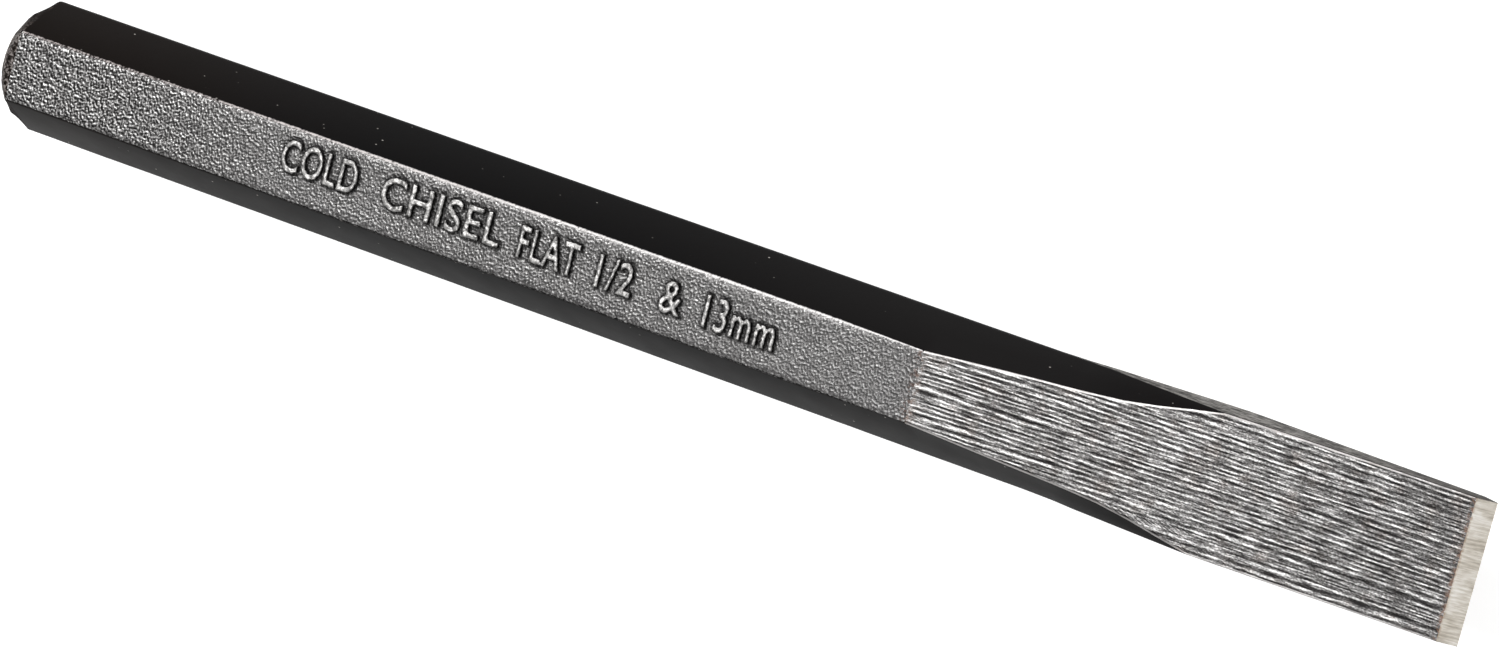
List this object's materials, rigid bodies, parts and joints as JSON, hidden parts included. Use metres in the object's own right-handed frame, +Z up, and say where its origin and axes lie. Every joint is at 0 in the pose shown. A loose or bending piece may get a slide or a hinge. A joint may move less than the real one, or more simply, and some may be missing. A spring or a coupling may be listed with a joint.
{
  "type": "cold chisel",
  "caption": "Flat cold chisel forged from one hexagonal steel bar, with a ground tapering blade, a short cutting bevel and a chamfered struck end.",
  "frame": {"origin": "on the surface that the chisel lies on, under the middle of its length", "axes": "+X along the bar to the cutting edge, +Y across the blade, +Z up, square to the bar's upper flat"},
  "size_m": [0.1524, 0.0128, 0.0111],
  "materials": {
    "forged_steel": "black oxide over forged skin, satin, with coarse grinding lines on the blade and bright ground steel at the cutting bevel"
  },
  "bodies": {
    "root": {"chisel": "forged_steel"}
  },
  "joints": []
}
